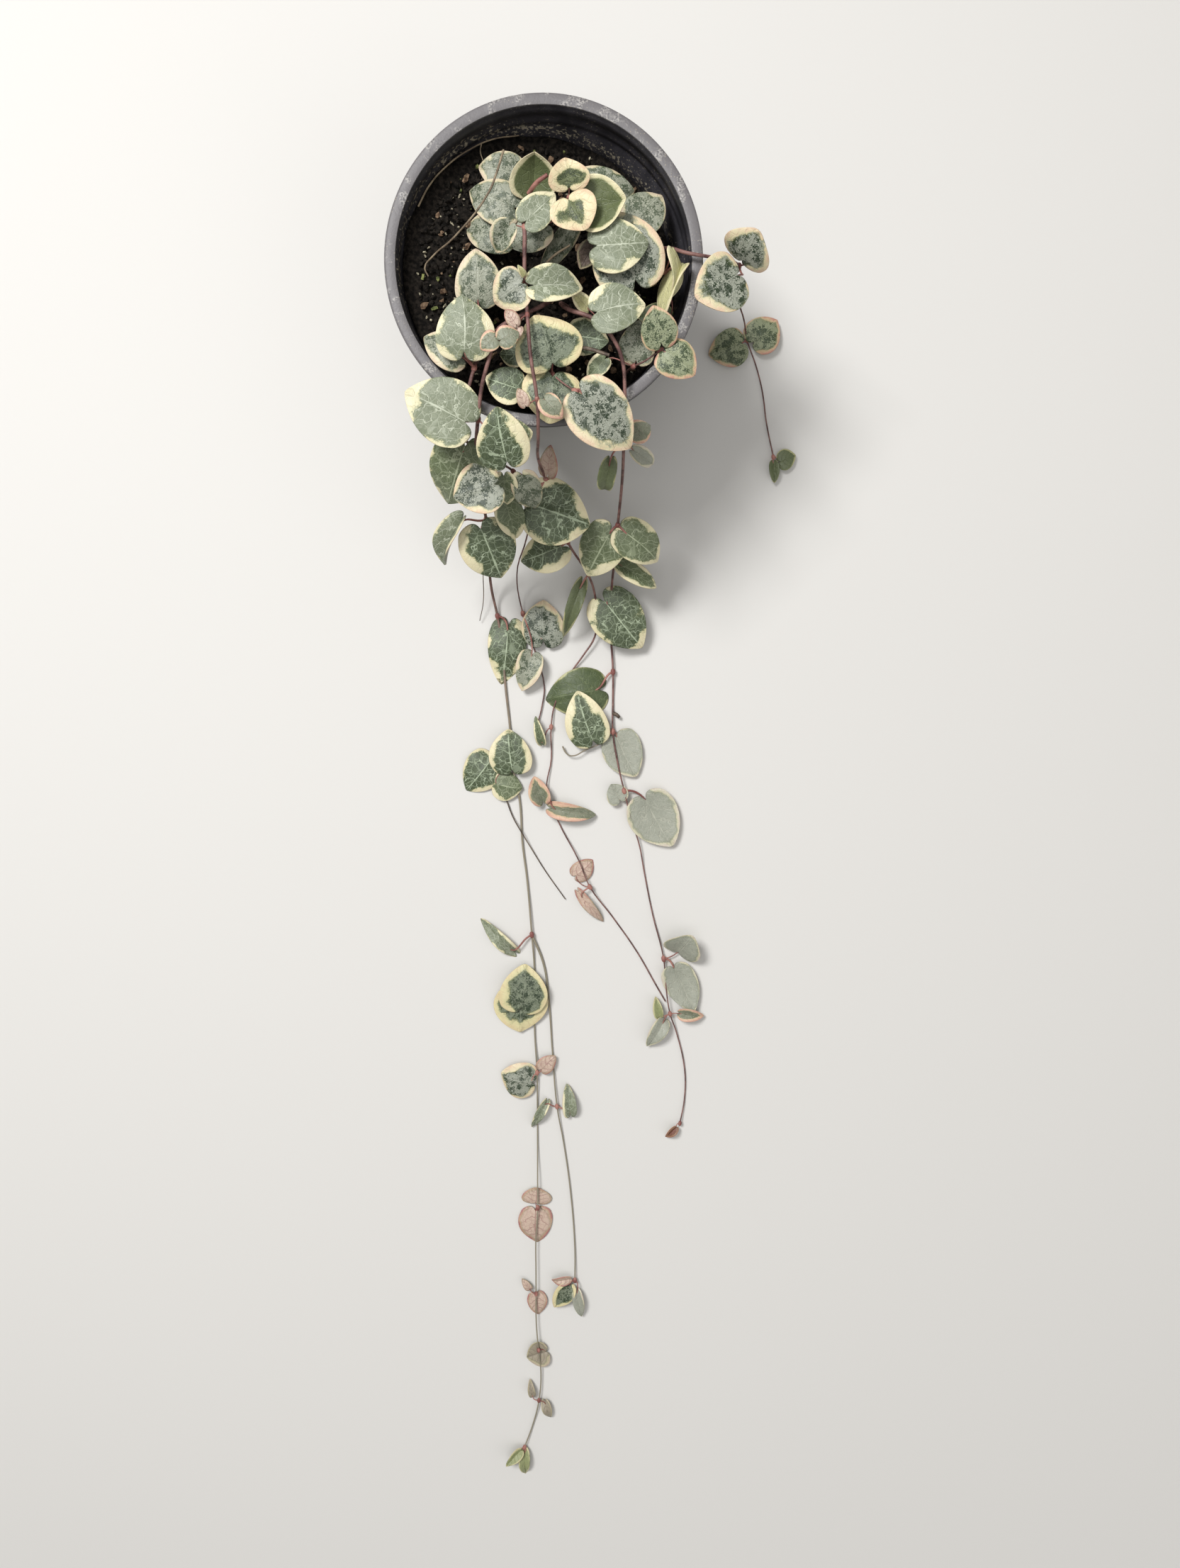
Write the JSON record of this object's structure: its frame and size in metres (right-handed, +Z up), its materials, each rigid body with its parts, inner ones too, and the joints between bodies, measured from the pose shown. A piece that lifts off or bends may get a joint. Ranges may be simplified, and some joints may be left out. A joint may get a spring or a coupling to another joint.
{
  "type": "potted string of hearts",
  "caption": "Trailing house plant with paired heart-shaped variegated leaves in a round nursery pot, its vines hanging over the rim and lying along the surface",
  "frame": {"origin": "centre of the pot's flat base, on the surface the pot stands on", "axes": "+Z up along the pot's axis, -Y the way the vines trail, +X to the right of a viewer facing +Y"},
  "size_m": [0.1587, 0.578, 0.1112],
  "materials": {
    "leaf": "satin",
    "stem": "satin",
    "pot_plastic": "matte",
    "soil": "matte"
  },
  "bodies": {
    "root": {"stem_centre": "stem", "leaves_centre_1": "leaf", "leaves_centre_2": "leaf", "leaves_centre_3": "leaf", "leaves_centre_4": "leaf", "leaves_centre_5": "leaf", "leaves_centre_6": "leaf", "leaves_centre_7": "leaf", "leaves_centre_8": "leaf", "leaves_centre_9": "leaf", "stem_left": "stem", "leaves_left_1": "leaf", "leaves_left_2": "leaf", "leaves_left_3": "leaf", "leaves_left_4": "leaf", "leaves_left_5": "leaf", "leaves_left_6": "leaf", "leaves_left_7": "leaf", "leaves_left_8": "leaf", "leaves_left_9": "leaf", "leaves_left_10": "leaf", "leaves_left_11": "leaf", "leaves_left_12": "leaf", "leaves_left_13": "leaf", "stem_right": "stem", "leaves_right_1": "leaf", "leaves_right_2": "leaf", "leaves_right_3": "leaf", "leaves_right_4": "leaf", "leaves_right_5": "leaf", "leaves_right_6": "leaf", "leaves_right_7": "leaf", "leaves_right_8": "leaf", "leaves_right_9": "leaf", "leaves_right_10": "leaf", "stem_outer": "stem", "leaves_outer_1": "leaf", "leaves_outer_2": "leaf", "leaves_outer_3": "leaf", "stem_side": "stem", "leaves_side_1": "leaf", "leaves_side_2": "leaf", "stem_red": "stem", "leaves_red_1": "leaf", "stem_fork": "stem", "leaves_fork_1": "leaf", "stem_front": "stem", "leaves_front_1": "leaf", "leaves_front_2": "leaf", "stem_back": "stem", "leaves_back_1": "leaf", "leaves_back_2": "leaf", "stem_back_left": "stem", "leaves_back_left_1": "leaf", "stem_back_right": "stem", "leaves_back_right_1": "leaf", "leaves_back_right_2": "leaf", "leaves_back_right_3": "leaf", "pot": "pot_plastic", "soil": "soil"}
  },
  "joints": []
}
